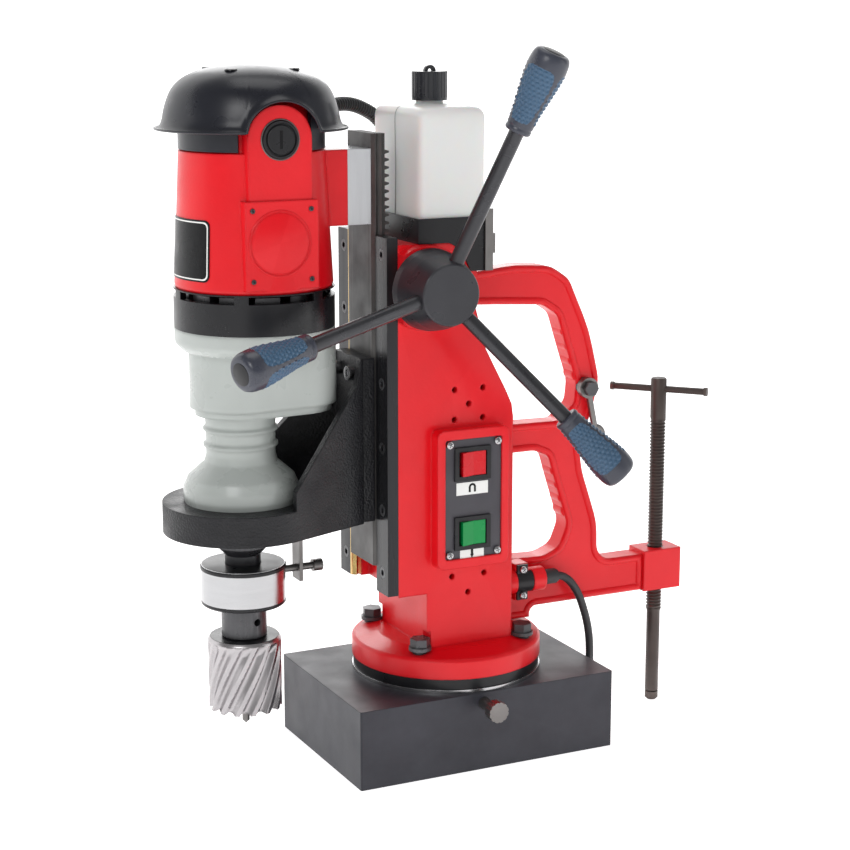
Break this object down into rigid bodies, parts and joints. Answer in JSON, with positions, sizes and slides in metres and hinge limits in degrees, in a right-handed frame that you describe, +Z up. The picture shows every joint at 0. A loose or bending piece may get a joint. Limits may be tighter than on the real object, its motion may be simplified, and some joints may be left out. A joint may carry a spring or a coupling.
{
  "type": "magnetic drill press",
  "caption": "Portable drill press on a flat electromagnet: swivel column, rack-fed motor head with an annular cutter, three-arm crank, coolant tank and rear clamp handle.",
  "frame": {"origin": "centre of the magnet's pole face, on the surface the machine stands on", "axes": "+Z up along the column, +X from the swivel axis to the clamp arm, so the drill head is at -X and the crank and panel at -Y"},
  "size_m": [0.4928, 0.3554, 0.5953],
  "materials": {
    "magnet_paint": "satin",
    "pole_iron": "satin",
    "coil_resin": "matte",
    "bright_steel": "satin",
    "brass": "satin",
    "dull_steel": "satin",
    "black_paint": "satin",
    "red_paint": "satin",
    "guide_steel": "satin",
    "black_steel": "satin",
    "panel_plastic": "matte",
    "black_plastic": "matte",
    "board": "matte",
    "red_plastic": "gloss",
    "green_plastic": "gloss",
    "tank_plastic": "satin",
    "rubber": "matte",
    "cap_plastic": "satin",
    "dark_alloy": "satin",
    "grip_rubber": "satin",
    "brown_steel": "satin",
    "slide_steel": "satin",
    "crinkle_paint": "textured",
    "bare_alloy": "satin",
    "grey_alloy": "satin",
    "cap_paint": "satin",
    "winding": "matte",
    "hose_plastic": "matte",
    "cutter_steel": "satin"
  },
  "bodies": {
    "magnet": {"magnet_housing": "magnet_paint", "magnet_core": "pole_iron", "magnet_coil": "coil_resin", "base_ring": "bright_steel", "lock_plug": "brass", "cord_coil": "rubber", "plug": "rubber"},
    "lock": {"lock_bolt": "dull_steel"},
    "column": {"turntable": "black_paint", "column_casting": "red_paint", "guide_plates": "guide_steel", "gib_strip": "brass", "column_screws": "black_steel", "hex_bolts": "black_steel", "rear_handle": "red_paint", "panel_plate": "panel_plastic", "panel_screws": "bright_steel", "switch_bodies": "black_plastic", "control_board": "board", "tank_bracket": "black_paint", "tank": "tank_plastic", "tank_strap": "dull_steel", "cord_saddle": "black_plastic", "cord_sleeve": "rubber", "cord": "rubber", "shaft_bushes": "brass"},
    "magnet_switch": {"magnet_rocker": "red_plastic"},
    "motor_switch": {"motor_rocker": "green_plastic"},
    "filler": {"tank_cap": "cap_plastic", "cap_seal": "rubber"},
    "crank": {"pinion_shaft": "dull_steel", "crank_hub": "dark_alloy", "crank_rods": "black_steel", "crank_grips": "grip_rubber"},
    "hook": {"eye_hook": "dull_steel"},
    "foot": {"clamp_foot": "brown_steel"},
    "screw": {"clamp_screw": "brown_steel"},
    "bar": {"tommy_bar": "brown_steel"},
    "carriage": {"slide": "slide_steel", "feed_rack": "slide_steel", "drill_bracket": "crinkle_paint", "bracket_screws": "bright_steel", "spacer_block": "bare_alloy", "motor_housing": "red_paint", "fan_ring": "black_paint", "gear_housing": "grey_alloy", "rain_cap": "cap_paint", "brush_caps": "cap_plastic", "stator": "winding", "bearings": "bright_steel", "coolant_ring": "bright_steel", "ring_strap": "dull_steel", "conduit": "hose_plastic"},
    "rotor": {"armature": "winding"},
    "idler": {"layshaft": "dull_steel"},
    "quill": {"spindle": "dull_steel", "arbor": "black_steel", "cutter": "cutter_steel", "pilot_spring": "bright_steel"},
    "pilot": {"pilot_pin": "dull_steel"}
  },
  "joints": [
    {"name": "column_swivel", "type": "hinge", "parent": "magnet", "child": "column", "pos_m": [0, 0, 0.07], "axis": [0, 0, 1], "range_deg": [-45, 45], "deforming": ["cord"]},
    {"name": "swivel_lock", "type": "hinge", "parent": "magnet", "child": "lock", "pos_m": [-0.006, 0, 0.058], "axis": [0, -1, 0], "range_deg": [0, 270]},
    {"name": "magnet_rocker_tilt", "type": "hinge", "parent": "column", "child": "magnet_switch", "pos_m": [-0.0055, -0.057, 0.257], "axis": [0, 0, 1], "range_deg": [-16, 0]},
    {"name": "motor_rocker_tilt", "type": "hinge", "parent": "column", "child": "motor_switch", "pos_m": [-0.0055, -0.057, 0.1985], "axis": [0, 0, 1], "range_deg": [-16, 0]},
    {"name": "filler_turn", "type": "hinge", "parent": "column", "child": "filler", "pos_m": [-0.017, -0.002, 0.56], "axis": [0, 0, 1], "range_deg": [0, 360]},
    {"name": "hook_swing", "type": "hinge", "parent": "column", "child": "hook", "pos_m": [0.129, -0.01475, 0.301], "axis": [0, 1, 0], "range_deg": [-50, 50]},
    {"name": "feed_slide", "type": "slide", "parent": "column", "child": "carriage", "axis": [0, 0, 1], "range_m": [-0.06, 0.1], "deforming": ["conduit"]},
    {"name": "crank_turn", "type": "hinge", "parent": "column", "child": "crank", "pos_m": [-0.046, -0.06, 0.4035], "axis": [0, 1, 0], "range_deg": [-172, 287]},
    {"name": "clamp_lift", "type": "slide", "parent": "column", "child": "foot", "axis": [0, 0, 1], "range_m": [-0.012, 0.024]},
    {"name": "clamp_turn", "type": "hinge", "parent": "foot", "child": "screw", "pos_m": [0.211, 0, 0.29], "axis": [0, 0, 1], "range_deg": [-1081, 2161]},
    {"name": "bar_slide", "type": "slide", "parent": "screw", "child": "bar", "axis": [0.682, -0.7314, 0], "range_m": [-0.033, 0.033]},
    {"name": "rotor_spin", "type": "hinge", "parent": "carriage", "child": "rotor", "pos_m": [-0.171, 0, 0.46], "axis": [0, 0, -1], "continuous": true},
    {"name": "idler_spin", "type": "hinge", "parent": "carriage", "child": "idler", "pos_m": [-0.14, 0, 0.35], "axis": [0, 0, -1], "continuous": true},
    {"name": "quill_spin", "type": "hinge", "parent": "carriage", "child": "quill", "pos_m": [-0.185, 0, 0.28], "axis": [0, 0, -1], "continuous": true},
    {"name": "pilot_slide", "type": "slide", "parent": "quill", "child": "pilot", "axis": [0, 0, 1], "range_m": [0, 0.016], "stiffness_N_per_m": 300, "springref_m": -0.01, "deforming": ["pilot_spring"]}
  ],
  "couplings": [
    {"joint": "crank_turn", "follows": "feed_slide", "rad_per_m": 50},
    {"joint": "clamp_turn", "follows": "clamp_lift", "rad_per_m": 1570.8},
    {"joint": "idler_spin", "follows": "rotor_spin", "ratio": -0.29167},
    {"joint": "quill_spin", "follows": "rotor_spin", "ratio": 0.10606}
  ]
}
